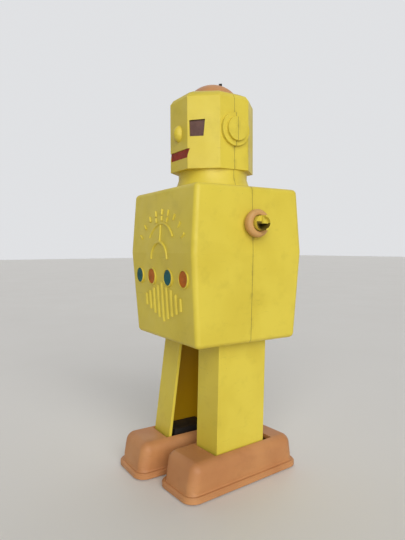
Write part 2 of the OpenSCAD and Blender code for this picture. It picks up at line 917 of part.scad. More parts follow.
// Wheels and arbors
module spur(teeth, thick, bore) {
    r = gear_m * teeth / 2;
    root = r - gear_m;
    tip = r + gear_m * 0.75;
    step = 360 / teeth;
    difference() {
        linear_extrude(height = thick)
            polygon([
                for (i = [0 : teeth - 1], k = [[-0.27, root], [-0.1, tip], [0.1, tip], [0.27, root]])
                    [k[1] * cos((i + k[0]) * step), k[1] * sin((i + k[0]) * step)]
            ]);
        translate([0, 0, -over]) cylinder(h = thick + 2 * over, r = bore);
    }
}

// Turns that bring a tooth or a gap onto the line to the wheel's mate
function heading(y0, z0, y1, z1) = atan2(z1 - z0, y1 - y0);
second_to_great = heading(second_y, second_z, great_y, great_z);
great_to_second = heading(great_y, great_z, second_y, second_z);
second_to_crank = heading(second_y, second_z, crank_y, crank_z);
crank_to_second = heading(crank_y, crank_z, second_y, second_z);
crank_to_governor = heading(crank_y, crank_z, governor_y, governor_z);
governor_to_crank = heading(governor_y, governor_z, crank_y, crank_z);

module winding_arbor() {
    color("silver") {
        rod_x(-key_hub_x - key_hub_l + 2, plate_out + 1.5, great_y, great_z, wind_r);
        difference() {
            rod_x(spring_x, spring_x + spring_w, great_y, great_z, 3.2);
            rod_x(-big, big, great_y, great_z, wind_r);
        }
    }
}

module ratchet_wheel() {
    step = 360 / ratchet_teeth;
    color("goldenrod") along_x(ratchet_x, great_y, great_z) difference() {
        linear_extrude(height = ratchet_t)
            polygon([
                for (i = [0 : ratchet_teeth - 1], k = [[0, ratchet_r], [0.12, ratchet_r - 1.4]])
                    [k[1] * cos((i + k[0]) * step), k[1] * sin((i + k[0]) * step)]
            ]);
        translate([0, 0, -over]) cylinder(h = 4, r = wind_r + fixed_gap);
    }
}

module great_wheel() {
    color("goldenrod") along_x(great_x, great_y, great_z) {
        difference() {
            rotate([0, 0, great_to_second]) spur(great_teeth, great_t, wind_r + run_gap);
            for (a = [60 : 60 : 330]) rotate([0, 0, a]) translate([9.6, 0, -over]) cylinder(h = 4, r = 2);
        }
        translate([click_pivot_r, 0, great_t]) cylinder(h = ratchet_t + 0.7, r = click_pin_r);
        translate([0, -click_pivot_r - 1.4, great_t]) cylinder(h = ratchet_t + 0.7, r = click_pin_r);
    }
}

module click() {
    color("silver") along_x(ratchet_x, great_y, great_z) difference() {
        hull() {
            translate([click_pivot_r, 0, 0]) cylinder(h = ratchet_t, r = 1.8);
            translate([5.7, 4.8, 0]) cylinder(h = ratchet_t, r = 0.6);
        }
        translate([click_pivot_r, 0, -over]) cylinder(h = 4, r = click_pin_r + run_gap);
    }
}

module click_spring() {
    color("silver") along_x(ratchet_x, great_y, great_z) difference() {
        union() {
            rotate_extrude(angle = 62) translate([13.2, 0]) square([0.4, ratchet_t]);
            rotate([0, 0, -90]) rotate_extrude(angle = 91) translate([13.2, 0]) square([0.4, ratchet_t]);
            translate([0, -click_pivot_r - 1.4, 0]) cylinder(h = ratchet_t, r = 1.7);
        }
        translate([0, -click_pivot_r - 1.4, -over]) cylinder(h = 4, r = click_pin_r + fixed_gap);
    }
}

// Strip wound as a flat spiral from the arbor's hub to the outer turn
module mainspring() {
    strip = 0.6;
    inner = 4;
    outer = 14.2;
    points = [for (i = [0 : spring_turns * 24]) i / (spring_turns * 24)];
    outside = [for (t = points) (inner + strip + (outer - inner - strip) * t) * [
        cos(360 * spring_turns * t), sin(360 * spring_turns * t)]];
    inside = [for (t = points) (inner + (outer - inner - strip) * t) * [
        cos(360 * spring_turns * t), sin(360 * spring_turns * t)]];
    color("slategray") along_x(spring_x, great_y, great_z) linear_extrude(height = spring_w)
        polygon(concat(outside, [for (i = [len(inside) - 1 : -1 : 0]) inside[i]]));
}

module second_arbor() {
    color("silver") {
        rod_x(-plate_out - 0.8, plate_out + 0.8, second_y, second_z, arbor_r);
        along_x(great_x - 0.4, second_y, second_z)
            rotate([0, 0, second_to_great + 180 / pinion_teeth]) spur(pinion_teeth, great_t + 0.8, arbor_r);
    }
}

module second_wheel() {
    color("goldenrod") along_x(second_x, second_y, second_z) difference() {
        rotate([0, 0, second_to_crank]) spur(second_teeth, wheel_t, arbor_r + fixed_gap);
        for (a = [0 : 72 : 288]) rotate([0, 0, a]) translate([8, 0, -over]) cylinder(h = 4, r = 2.4);
    }
}

module crank_arbor() {
    color("silver") {
        rod_x(-disc_x - disc_t, disc_x + disc_t, crank_y, crank_z, arbor_r);
        along_x(second_x - 0.3, crank_y, crank_z)
            rotate([0, 0, crank_to_second + 180 / pinion_teeth]) spur(pinion_teeth, wheel_t + 0.6, arbor_r);
    }
}

module crank_wheel() {
    color("goldenrod") along_x(crank_wheel_x, crank_y, crank_z) difference() {
        rotate([0, 0, crank_to_governor]) spur(crank_teeth, wheel_t, arbor_r + fixed_gap);
        for (a = [0 : 72 : 288]) rotate([0, 0, a]) translate([8, 0, -over]) cylinder(h = 4, r = 2.4);
    }
}

module crank_disc(side) {
    color("silver") mirrored(side) {
        difference() {
            rod_x(disc_x, disc_x + disc_t, crank_y, crank_z, disc_r);
            rod_x(0, big, crank_y, crank_z, arbor_r + fixed_gap);
        }
        rod_x(disc_x + disc_t, crank_pin_end, crank_y - side * crank_throw, crank_z, crank_pin_r);
    }
}

module governor_arbor() {
    color("silver") {
        rod_x(-plate_out - 0.8, plate_out + 0.8, governor_y, governor_z, arbor_r);
        along_x(crank_wheel_x - 0.3, governor_y, governor_z)
            rotate([0, 0, governor_to_crank + 180 / governor_teeth])
                spur(governor_teeth, wheel_t + 0.6, arbor_r);
    }
}

module governor_fly() {
    color("goldenrod") along_x(fly_x, governor_y, governor_z) difference() {
        union() {
            cylinder(h = fly_t, r = 3);
            for (a = [0, 180]) rotate([0, 0, a]) translate([0, -0.6, 0]) cube([fly_r, 1.2, fly_t]);
        }
        translate([0, 0, -over]) cylinder(h = fly_t + 2 * over, r = arbor_r + fixed_gap);
    }
}

// Winding key and its bush
module key_bush() {
    wall_x = side_x(great_z);
    color("goldenrod") mirrored(-1) difference() {
        union() {
            rod_x(wall_x - wall - 1, wall_x + 0.8, great_y, great_z, key_bush_r);
            rod_x(wall_x + 0.3, wall_x + 1.3, great_y, great_z, key_bush_r + 1.6);
        }
        rod_x(0, big, great_y, great_z, wind_r + run_gap);
    }
}

module winding_key() {
    color("silver") mirrored(-1) difference() {
        union() {
            rod_x(key_hub_x, key_hub_x + key_hub_l, great_y, great_z, 3.2);
            translate([key_wing_x, great_y, great_z - 0.8]) linear_extrude(height = 1.6) hull() {
                translate([0, -3]) square([3, 6]);
                for (y = [-1, 1]) translate([key_end - key_wing_x - 6, y * 7]) circle(r = 6);
            }
        }
        rod_x(0, key_hub_x + key_hub_l - 2 + fixed_gap, great_y, great_z, wind_r + fixed_gap);
    }
}

at_origin() torso_front();
at_origin() torso_back();
at_origin() head_front();
at_origin() head_back();
at_origin() head_dome();
at_origin() antenna_stubs();
at_origin() eye_lenses();
at_origin() mouth_insert();
at_origin() lamp(0, "teal");  // lamp_blue_outer
at_origin() lamp(1, "orangered");  // lamp_orange_inner
at_origin() lamp(2, "teal");  // lamp_blue_inner
at_origin() lamp(3, "orangered");  // lamp_orange_outer
at_origin() collar_at(1);  // shoulder_collar_left
at_origin() collar_at(-1);  // shoulder_collar_right
at_origin() arm_stub(1);  // arm_stub_left
at_origin() arm_stub(-1);  // arm_stub_right
at_origin() torso_screws();
at_origin() hip_shaft();
at_origin() hip_retainers();
at_origin() frame_plate(1);  // frame_plate_left
at_origin() frame_plate(-1);  // frame_plate_right
at_origin() frame_pillars();
at_origin() frame_bracket();
at_origin() bracket_screws();
at_origin() mainspring();
at_origin() key_bush();
at_origin() winding_arbor();
at_origin() ratchet_wheel();
at_origin() winding_key();
at_origin() great_wheel();
at_origin() click();
at_origin() click_spring();
at_origin() second_arbor();
at_origin() second_wheel();
at_origin() crank_arbor();
at_origin() crank_wheel();
at_origin() crank_disc(1);  // crank_disc_left
at_origin() crank_disc(-1);  // crank_disc_right
at_origin() governor_arbor();
at_origin() governor_fly();
at_origin() leg_shell(1);  // leg_shell_left
at_origin() leg_arm(1);  // leg_arm_left
at_origin() shoe(1);  // shoe_left
at_origin() sole_plate(1);  // sole_plate_left
at_origin() ankle_block(1);  // ankle_block_left
at_origin() ankle_pin(1);  // ankle_pin_left
at_origin() roller(1, -1);  // front_roller_left
at_origin() roller(1, 1);  // rear_roller_left
at_origin() leg_shell(-1);  // leg_shell_right
at_origin() leg_arm(-1);  // leg_arm_right
at_origin() shoe(-1);  // shoe_right
at_origin() sole_plate(-1);  // sole_plate_right
at_origin() ankle_block(-1);  // ankle_block_right
at_origin() ankle_pin(-1);  // ankle_pin_right
at_origin() roller(-1, -1);  // front_roller_right
at_origin() roller(-1, 1);  // rear_roller_right
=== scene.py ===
"""Looks of a moulded wind-up robot: plastic shells, a painted face, lamps, shoes and its clockwork.

It is laid out as an add-on with one operator for each piece or group of like pieces, and runs as a script.
All sizes are in metres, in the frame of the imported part.
"""
import json
import math

import bpy
from bpy.props import FloatProperty, FloatVectorProperty, PointerProperty
from bpy.types import Operator, Panel, PropertyGroup
from mathutils import Matrix, Vector

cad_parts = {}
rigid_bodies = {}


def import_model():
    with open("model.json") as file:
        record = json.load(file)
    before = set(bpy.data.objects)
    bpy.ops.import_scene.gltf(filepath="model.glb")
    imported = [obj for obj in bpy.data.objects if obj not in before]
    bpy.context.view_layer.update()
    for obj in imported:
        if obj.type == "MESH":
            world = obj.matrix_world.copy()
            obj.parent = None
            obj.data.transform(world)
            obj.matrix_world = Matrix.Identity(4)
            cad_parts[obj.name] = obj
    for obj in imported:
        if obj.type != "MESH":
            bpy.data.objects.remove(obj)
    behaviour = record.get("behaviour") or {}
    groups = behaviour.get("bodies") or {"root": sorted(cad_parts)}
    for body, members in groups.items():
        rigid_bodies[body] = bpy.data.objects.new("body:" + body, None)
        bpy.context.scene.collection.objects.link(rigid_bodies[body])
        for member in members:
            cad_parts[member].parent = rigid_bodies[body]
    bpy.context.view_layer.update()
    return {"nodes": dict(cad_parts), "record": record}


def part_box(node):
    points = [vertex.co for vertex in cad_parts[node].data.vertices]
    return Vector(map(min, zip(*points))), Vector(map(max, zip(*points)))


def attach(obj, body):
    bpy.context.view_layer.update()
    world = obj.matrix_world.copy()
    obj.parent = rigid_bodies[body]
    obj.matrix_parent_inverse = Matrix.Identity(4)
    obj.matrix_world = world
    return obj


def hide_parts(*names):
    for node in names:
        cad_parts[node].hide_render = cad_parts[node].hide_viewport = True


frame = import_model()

bl_info = {
    "name": "Wind-up robot",
    "version": (1, 0, 0),
    "blender": (4, 5, 0),
    "location": "View3D > Sidebar > Robot",
    "description": "Builds the visible pieces and finishes of a moulded wind-up robot",
    "category": "Object",
}

# Face attribute that holds each face's share of painted shade
PAINTED_SHADE = "sheltered"
MM = 0.001
NODES = frame["nodes"]
BODY_OF = {node: body for body, nodes in frame["record"]["behaviour"]["bodies"].items() for node in nodes}
SLOT_OF = {row["node"]: row["material_slot"] for row in frame["record"]["subparts"]}

# The seam runs where the front and back mouldings meet
SEAM_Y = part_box("torso_back")[0].y
ROBOT_X = (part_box("torso_front")[0].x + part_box("torso_front")[1].x) / 2
CAMERA_FROM_ROBOT = Vector((0.2883, -0.19235, 0.1626))
CAMERA_LENS = 31.04
SENSOR_WIDTH = 36.0

# The brighter side of the room, and the large soft light: azimuth, height and spread in degrees
BRIGHT_SIDE = (-0.845, 0.535, 0.0)
WINDOW_AZIMUTH, WINDOW_HEIGHT, WINDOW_SPREAD = 68, 24, 60

# The coat at which a lacquer has its full specular level
FULL_GLOSS = 0.35


# ---------------------------------------------------------------------------------------------------------
# Settings
# ---------------------------------------------------------------------------------------------------------

def colour_setting(name, description, default):
    return FloatVectorProperty(name=name, description=description, default=default, subtype="COLOR",
                               size=3, min=0.0, max=1.0)


def share_setting(name, description, default):
    return FloatProperty(name=name, description=description, default=default, min=0.0, max=1.0,
                         subtype="FACTOR")


def length_setting(name, description, default):
    return FloatProperty(name=name, description=description, default=default, min=0.0, unit="LENGTH",
                         precision=5)


class RobotPlastic(PropertyGroup):
    """Colours and condition of the mouldings"""
    yellow: colour_setting("Yellow", "Main colour of the body, head and legs", (0.715, 0.575, 0.062))
    yellow_aged: colour_setting("Aged yellow", "Where the yellow has darkened", (0.60, 0.455, 0.035))
    peach: colour_setting("Peach", "Colour of the shoes, collars and dome", (0.55, 0.255, 0.095))
    peach_aged: colour_setting("Aged peach", "Where the peach has darkened", (0.41, 0.155, 0.052))
    collar: colour_setting("Collar", "Colour of the shoulder rings", (0.60, 0.36, 0.12))
    # Dirt colour for scuffs and specks, also used as painted shade in the seam between the mouldings
    grime_and_seam_shade: colour_setting("Grime", "Dirt in the seams and scuffs", (0.11, 0.075, 0.018))
    # Painted shade: dark colour laid on the eye recess walls and in the lower hollows of the broken arm ends
    shade: colour_setting("Shade", "Colour of sheltered recesses", (0.085, 0.05, 0.006))
    # Painted shade for the hollow insides of the legs: a dark saturated yellow for shade with yellow light
    # bounced between the walls
    channel: colour_setting("Channel", "Colour of the legs' sheltered insides", (0.52, 0.29, 0.002))
    wear: share_setting("Wear", "How strongly blotches, scuffs and specks show", 0.5)
    shell_round: length_setting("Shell edge", "Rounding of the mouldings' free edges", 0.4 * MM)
    leg_round: length_setting("Leg edge", "Rounding of the legs' upright edges", 1.0 * MM)
    rim_round: length_setting("Rim edge", "Rounding of the shoes' rims", 1.1 * MM)


class RobotStage(PropertyGroup):
    """Floor, light and surroundings"""
    floor: colour_setting("Floor", "Colour of the floor", (0.79, 0.765, 0.72))
    room: colour_setting("Room", "Colour of the surroundings", (0.83, 0.84, 0.86))
    room_strength: FloatProperty(name="Room light", description="Brightness of the room as seen",
                                 default=0.90, min=0.0)
    fill_strength: FloatProperty(name="Fill light", description="Strength of the room's light on the front",
                                 default=0.08, min=0.0)
    key_strength: FloatProperty(name="Key light", description="Strength of the large soft light",
                                default=2.85, min=0.0)


def settings():
    return bpy.context.scene.robot_plastic


# ---------------------------------------------------------------------------------------------------------
# Selecting and shaping
# ---------------------------------------------------------------------------------------------------------

def deselect_all():
    for item in bpy.context.view_layer.objects:
        item.select_set(False)


def work_on(piece):
    """Make one piece the only selected and active object"""
    if bpy.context.mode != "OBJECT":
        bpy.ops.object.mode_set(mode="OBJECT")
    deselect_all()
    piece.select_set(True)
    bpy.context.view_layer.objects.active = piece


def edit(piece):
    work_on(piece)
    bpy.ops.object.mode_set(mode="EDIT")


def leave_edit():
    bpy.ops.object.mode_set(mode="OBJECT")


def apply_modifiers(piece):
    work_on(piece)
    for modifier in list(piece.modifiers):
        bpy.ops.object.modifier_apply(modifier=modifier.name)


def shade(piece, angle=30):
    work_on(piece)
    bpy.ops.object.shade_smooth_by_angle(angle=math.radians(angle))


def bevel(piece, width, segments=3, angle=30, profile=0.5):
    """Round every edge sharper than an angle"""
    modifier = piece.modifiers.new("round", "BEVEL")
    modifier.width = width
    modifier.segments = segments
    modifier.limit_method = "ANGLE"
    modifier.angle_limit = math.radians(angle)
    modifier.profile = profile
    modifier.use_clamp_overlap = True
    modifier.miter_outer = "MITER_ARC"
    apply_modifiers(piece)


def place(piece, material, *nodes, body=None):
    """Give a finished piece its material and its body, and hide the nodes it stands for"""
    piece.data.materials.clear()
    piece.data.materials.append(material)
    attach(piece, body or BODY_OF[nodes[0]])
    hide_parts(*nodes)


def even_normals(piece):
    """Let the largest faces decide the shading, so that flats stay flat beside rounded edges"""
    modifier = piece.modifiers.new("even", "WEIGHTED_NORMAL")
    modifier.keep_sharp = True
    modifier.weight = 100
    apply_modifiers(piece)


def copy_of_node(node, name, flat=0.5):
    """Copy a node's mesh into a new piece with merged doubles and, at an angle above 0, whole flat faces"""
    piece = bpy.data.objects.new(name, NODES[node].data.copy())
    bpy.context.scene.collection.objects.link(piece)
    work_on(piece)
    bpy.ops.mesh.customdata_custom_splitnormals_clear()
    edit(piece)
    bpy.ops.mesh.select_all(action="SELECT")
    bpy.ops.mesh.remove_doubles(threshold=2e-6)
    if flat:
        bpy.ops.mesh.dissolve_limited(angle_limit=math.radians(flat))
    leave_edit()
    return piece


def mark(piece, share, takes_painted_shade):
    """Give the faces that a test picks their share of painted shade, as a face attribute"""
    marks = piece.data.attributes.new(PAINTED_SHADE, "FLOAT", "FACE")
    for face, row in zip(piece.data.polygons, marks.data):
        row.value = share if takes_painted_shade(face) else 0.0


def faces_axis(piece, end=8 * MM):
    """A test for the faces that look towards a tube's own axis, which runs from its low to its high end"""
    points = [vertex.co for vertex in piece.data.vertices]
    ends = []
    for edge, inwards in ((min(p.z for p in points), 1), (max(p.z for p in points), -1)):
        near_end = [p for p in points if (p.z - edge) * inwards < end]
        ends.append(Vector([(min(p[i] for p in near_end) + max(p[i] for p in near_end)) / 2
                            for i in range(3)]))
    low, high = ends

    def test(face):
        middle = low.lerp(high, (face.center.z - low.z) / (high.z - low.z))
        away = face.center - middle
        away.z = 0.0
        return away.dot(face.normal) < 0 and abs(face.normal.z) < 0.8
    return test


def inside_box(low, high):
    """A test for the faces whose middle lies in a box"""
    return lambda face: all(low[i] < face.center[i] < high[i] for i in range(3))


def soft_shell(node, name, material, width, segments=2, angle=30):
    """A moulding with its edges rounded"""
    piece = copy_of_node(node, name)
    bevel(piece, width, segments, angle)
    shade(piece)
    even_normals(piece)
    place(piece, material, node)
    return piece


# ---------------------------------------------------------------------------------------------------------
# Materials
# ---------------------------------------------------------------------------------------------------------

class Finish:
    """A node material under construction, read on Object coordinates"""

    def __init__(self, name):
        self.material = bpy.data.materials.new(name)
        self.material.use_nodes = True
        self.nodes = self.material.node_tree.nodes
        self.links = self.material.node_tree.links
        self.shader = next(n for n in self.nodes if n.type == "BSDF_PRINCIPLED")
        self.where = self.nodes.new("ShaderNodeTexCoord").outputs["Object"]

    def attribute(self, name):
        attribute = self.nodes.new("ShaderNodeAttribute")
        attribute.attribute_name = name
        return attribute.outputs["Fac"]

    def set(self, **values):
        for socket, value in values.items():
            self.shader.inputs[socket.replace("_", " ")].default_value = value
        return self

    def link(self, output, socket):
        self.links.new(output, self.shader.inputs[socket])

    def stretched(self, scale, turn=(0, 0, 0), shift=(0, 0, 0)):
        mapping = self.nodes.new("ShaderNodeMapping")
        mapping.inputs["Location"].default_value = shift
        mapping.inputs["Rotation"].default_value = turn
        mapping.inputs["Scale"].default_value = scale
        self.links.new(self.where, mapping.inputs["Vector"])
        return mapping.outputs["Vector"]

    def noise(self, scale, detail=4.0, rough=0.55, where=None, warp=0.0):
        noise = self.nodes.new("ShaderNodeTexNoise")
        noise.inputs["Scale"].default_value = scale
        noise.inputs["Detail"].default_value = detail
        noise.inputs["Roughness"].default_value = rough
        noise.inputs["Distortion"].default_value = warp
        self.links.new(where or self.where, noise.inputs["Vector"])
        return noise.outputs["Fac"]

    def dots(self, scale, where=None):
        dots = self.nodes.new("ShaderNodeTexVoronoi")
        dots.inputs["Scale"].default_value = scale
        self.links.new(where or self.where, dots.inputs["Vector"])
        return dots.outputs["Distance"]

    def span(self, value, low, high, to_low=0.0, to_high=1.0):
        """Map a value's span from low to high smoothly onto another span"""
        ranged = self.nodes.new("ShaderNodeMapRange")
        ranged.interpolation_type = "SMOOTHSTEP"
        for socket, number in zip(("From Min", "From Max", "To Min", "To Max"), (low, high, to_low, to_high)):
            ranged.inputs[socket].default_value = number
        self.links.new(value, ranged.inputs["Value"])
        return ranged.outputs["Result"]

    def math(self, operation, first, second):
        node = self.nodes.new("ShaderNodeMath")
        node.operation = operation
        for socket, value in zip(node.inputs, (first, second)):
            if isinstance(value, (int, float)):
                socket.default_value = value
            elif value is not None:
                self.links.new(value, socket)
        return node.outputs["Value"]

    def axis(self, name):
        split = self.nodes.new("ShaderNodeSeparateXYZ")
        self.links.new(self.where, split.inputs["Vector"])
        return split.outputs[name]

    def mix(self, share, first, second):
        mix = self.nodes.new("ShaderNodeMix")
        mix.data_type = "RGBA"
        for socket, value in ((mix.inputs["Factor"], share), (mix.inputs[6], first), (mix.inputs[7], second)):
            if isinstance(value, (int, float)):
                socket.default_value = value
            elif isinstance(value, bpy.types.NodeSocket):
                self.links.new(value, socket)
            else:
                socket.default_value = (*value, 1.0)
        return mix.outputs[2]

    def bump(self, height, strength, distance, under=None):
        bump = self.nodes.new("ShaderNodeBump")
        bump.inputs["Strength"].default_value = strength
        bump.inputs["Distance"].default_value = distance
        self.links.new(height, bump.inputs["Height"])
        if under is not None:
            self.links.new(under, bump.inputs["Normal"])
        return bump.outputs["Normal"]


def near(finish, axis, at, half, blur):
    """1 within half a width of a plane across an axis, fading to 0"""
    away = finish.math("ABSOLUTE", finish.math("SUBTRACT", finish.axis(axis), at), None)
    return finish.span(away, half, half + blur, 1.0, 0.0)


def moulded_plastic(name, fresh, aged, roughness=0.46, seam=False, specks=1.0, shade=None):
    """Old soft-gloss plastic: slow blotches, scuffs, specks of dirt and a faint orange-peel skin, with
    painted shade on marked faces and, where asked, along the seam
    """
    look = settings()
    finish = Finish(name)
    finish.set(Specular_IOR_Level=0.42)
    blotch = finish.span(finish.noise(22.0, 3.0, 0.5, warp=0.4), 0.36, 0.66)
    colour = finish.mix(finish.math("MULTIPLY", blotch, look.wear), fresh, aged)
    cloud = finish.span(finish.noise(75.0, 6.0, 0.62), 0.5, 0.74, 0.0, 0.34 * look.wear)
    colour = finish.mix(cloud, colour, tuple(0.62 * c for c in aged))
    scuff_where = finish.stretched((60.0, 95.0, 420.0), turn=(0.5, 0.35, 0.2))
    scuff = finish.span(finish.noise(1.0, 5.0, 0.6, where=scuff_where), 0.62, 0.76, 0.0, 0.2 * look.wear)
    colour = finish.mix(scuff, colour, look.grime_and_seam_shade)
    speck = finish.span(finish.dots(230.0), 0.035, 0.075, 0.75 * specks * look.wear, 0.0)
    patch = finish.span(finish.noise(30.0, 2.0), 0.46, 0.62)
    colour = finish.mix(finish.math("MULTIPLY", speck, patch), colour, look.grime_and_seam_shade)
    # Along the seam: a thin dark line of painted shade in place of the groove between the mouldings, and
    # beside it a blotchy darker band a few millimetres wide
    if seam:
        line = finish.math("MULTIPLY", near(finish, "Y", SEAM_Y, 0.1 * MM, 0.25 * MM), 0.65)
        colour = finish.mix(line, colour, look.grime_and_seam_shade)
        smear = finish.math("MULTIPLY", near(finish, "Y", SEAM_Y, 0.2 * MM, 2.6 * MM),
                            finish.span(finish.noise(160.0, 4.0), 0.45, 0.7, 0.0, 0.22))
        colour = finish.mix(smear, colour, look.grime_and_seam_shade)
    # Painted shade: faces marked in the painted-shade attribute take on the shade colour
    colour = finish.mix(finish.attribute(PAINTED_SHADE), colour, shade or look.shade)
    finish.link(colour, "Base Color")
    rough = finish.span(finish.noise(48.0, 5.0), 0.3, 0.7, roughness - 0.07, roughness + 0.1)
    finish.link(rough, "Roughness")
    waves = finish.bump(finish.noise(26.0, 2.0), 0.25, 0.8 * MM)
    finish.link(finish.bump(finish.noise(1300.0, 3.0), 0.09, 0.12 * MM, under=waves), "Normal")
    return finish.material


def glossy_paint(name, colour, deep, roughness=0.2, gloss=FULL_GLOSS):
    """Glossy lacquer with a thin dull film"""
    finish = Finish(name)
    finish.set(Specular_IOR_Level=0.5 * gloss / FULL_GLOSS, Coat_Weight=gloss, Coat_Roughness=0.16)
    film = finish.span(finish.noise(210.0, 5.0, 0.6), 0.4, 0.7)
    finish.link(finish.mix(film, colour, deep), "Base Color")
    finish.link(finish.span(finish.noise(320.0, 4.0), 0.35, 0.7, roughness, roughness + 0.18), "Roughness")
    finish.link(finish.bump(finish.noise(650.0, 3.0), 0.08, 0.1 * MM), "Normal")
    return finish.material


def worked_metal(name, colour, stain, roughness=0.32, brushed=(900.0, 60.0, 60.0)):
    """Sheet or turned metal with fine drawn lines and a little tarnish"""
    finish = Finish(name)
    finish.set(Metallic=1.0)
    tarnish = finish.span(finish.noise(130.0, 5.0, 0.6), 0.48, 0.72, 0.0, 0.7)
    finish.link(finish.mix(tarnish, colour, stain), "Base Color")
    lines = finish.noise(1.0, 3.0, 0.5, where=finish.stretched(brushed))
    finish.link(finish.span(lines, 0.3, 0.7, roughness - 0.08, roughness + 0.16), "Roughness")
    finish.link(finish.bump(lines, 0.12, 0.08 * MM), "Normal")
    return finish.material


def matt_dark(name, colour, dusty, roughness=0.6):
    """Dark moulding with dust in patches"""
    finish = Finish(name)
    finish.set(Specular_IOR_Level=0.3)
    dust = finish.span(finish.noise(95.0, 6.0, 0.65), 0.5, 0.8, 0.0, 0.6)
    finish.link(finish.mix(dust, colour, dusty), "Base Color")
    rough = finish.span(finish.noise(60.0, 3.0), 0.3, 0.7, roughness - 0.08, roughness + 0.14)
    finish.link(rough, "Roughness")
    finish.link(finish.bump(finish.noise(800.0, 3.0), 0.12, 0.1 * MM), "Normal")
    return finish.material


MATERIALS = {}


def material(name):
    """The finish of that name, made once"""
    if not MATERIALS:
        look = settings()
        yellow, yellow_aged = tuple(look.yellow), tuple(look.yellow_aged)
        peach, peach_aged = tuple(look.peach), tuple(look.peach_aged)
        MATERIALS.update({
            "body_yellow": moulded_plastic("body_yellow", yellow, yellow_aged, seam=True),
            # The legs' marked insides take painted shade in the leg-inside shade colour
            "leg_yellow": moulded_plastic("leg_yellow", yellow, yellow_aged, shade=look.channel),
            "stub_yellow": moulded_plastic("stub_yellow", yellow, yellow_aged),
            "shoe_peach": moulded_plastic("shoe_peach", peach, peach_aged, roughness=0.5, specks=0.6),
            "collar": moulded_plastic("collar_peach", tuple(look.collar), peach, roughness=0.5, specks=0.6),
            "dark": matt_dark("dark_moulding", (0.018, 0.015, 0.013), (0.06, 0.05, 0.04)),
            "nylon": matt_dark("roller_nylon", (0.30, 0.29, 0.27), (0.14, 0.13, 0.115), 0.5),
            "lens": glossy_paint("smoked_lens", (0.085, 0.030, 0.02), (0.12, 0.05, 0.035), 0.3, 0.12),
            "mouth": glossy_paint("mouth_red", (0.31, 0.028, 0.008), (0.22, 0.024, 0.006), 0.4, 0.08),
            "blue": glossy_paint("lamp_blue", (0.0, 0.10, 0.105), (0.0, 0.06, 0.07), 0.35, 0.08),
            "orange": glossy_paint("lamp_orange", (0.50, 0.13, 0.006), (0.38, 0.10, 0.006), 0.35, 0.06),
            "steel": worked_metal("bright_steel", (0.60, 0.60, 0.61), (0.34, 0.30, 0.25)),
            "blued": worked_metal("blued_steel", (0.13, 0.15, 0.21), (0.07, 0.07, 0.09), 0.28),
            "plated": worked_metal("nickel_plate", (0.72, 0.70, 0.66), (0.40, 0.34, 0.26), 0.2,
                                   (300.0, 300.0, 300.0)),
            "brass": worked_metal("stamped_brass", (0.78, 0.56, 0.22), (0.42, 0.26, 0.09), 0.3,
                                  (200.0, 700.0, 700.0)),
        })
    return MATERIALS[name]


FINISH_OF_SLOT = {
    "shell_yellow": "leg_yellow", "peach": "shoe_peach", "dark_plastic": "dark", "eye_lens": "lens",
    "mouth_red": "mouth", "lamp_blue": "blue", "lamp_orange": "orange", "steel": "steel",
    "spring_steel": "blued", "plated_steel": "plated", "brass": "brass", "roller_nylon": "nylon",
}


# ---------------------------------------------------------------------------------------------------------
# Pieces
# ---------------------------------------------------------------------------------------------------------

class ROBOT_OT_torso(Operator):
    """The two torso mouldings, whose edges are round already, with even shading"""
    bl_idname = "robot.torso"
    bl_label = "Torso mouldings"

    def execute(self, context):
        for node, name in (("torso_front", "chest_moulding"), ("torso_back", "back_moulding")):
            piece = copy_of_node(node, name, flat=0)
            shade(piece, 35)
            even_normals(piece)
            place(piece, material("body_yellow"), node)
        return {"FINISHED"}


class ROBOT_OT_head(Operator):
    """Round the edges of the two head mouldings and paint shade on the walls of the eye recesses"""
    bl_idname = "robot.head"
    bl_label = "Head mouldings"

    def execute(self, context):
        face = soft_shell("head_front", "face_moulding", material("body_yellow"), settings().shell_round)
        # Painted shade on the walls of the recess round each eye lens, leaving the part between the eyes
        low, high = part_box("eye_lenses")
        margin = Vector((1.2 * MM, 6.0 * MM, 1.2 * MM))
        recess = inside_box(low - margin, high + margin)
        between = min(abs(vertex.co.x - ROBOT_X) for vertex in NODES["eye_lenses"].data.vertices) - margin.x
        mark(face, 0.9, lambda part: recess(part) and abs(part.normal.y) < 0.6
             and abs(part.center.x - ROBOT_X) > between)
        soft_shell("head_back", "nape_moulding", material("body_yellow"), settings().shell_round)
        return {"FINISHED"}


class ROBOT_OT_crown(Operator):
    """Dome on the head and the stubs of its two spikes"""
    bl_idname = "robot.crown"
    bl_label = "Crown"

    def execute(self, context):
        soft_shell("head_dome", "crown_dome", material("shoe_peach"), 0.3 * MM)
        soft_shell("antenna_stubs", "spike_stubs", material("dark"), 0.15 * MM)
        return {"FINISHED"}


class ROBOT_OT_face(Operator):
    """Lenses and mouth set into the face"""
    bl_idname = "robot.face"
    bl_label = "Face inserts"

    def execute(self, context):
        soft_shell("eye_lenses", "smoked_lenses", material("lens"), 0.2 * MM)
        soft_shell("mouth_insert", "red_mouth", material("mouth"), 0.2 * MM)
        return {"FINISHED"}


class ROBOT_OT_lamps(Operator):
    """Four painted lamps on the chest"""
    bl_idname = "robot.lamps"
    bl_label = "Chest lamps"

    def execute(self, context):
        for node, finish in (("lamp_blue_outer", "blue"), ("lamp_orange_inner", "orange"),
                             ("lamp_blue_inner", "blue"), ("lamp_orange_outer", "orange")):
            soft_shell(node, node + "_button", material(finish), 0.5 * MM, 3)
        return {"FINISHED"}


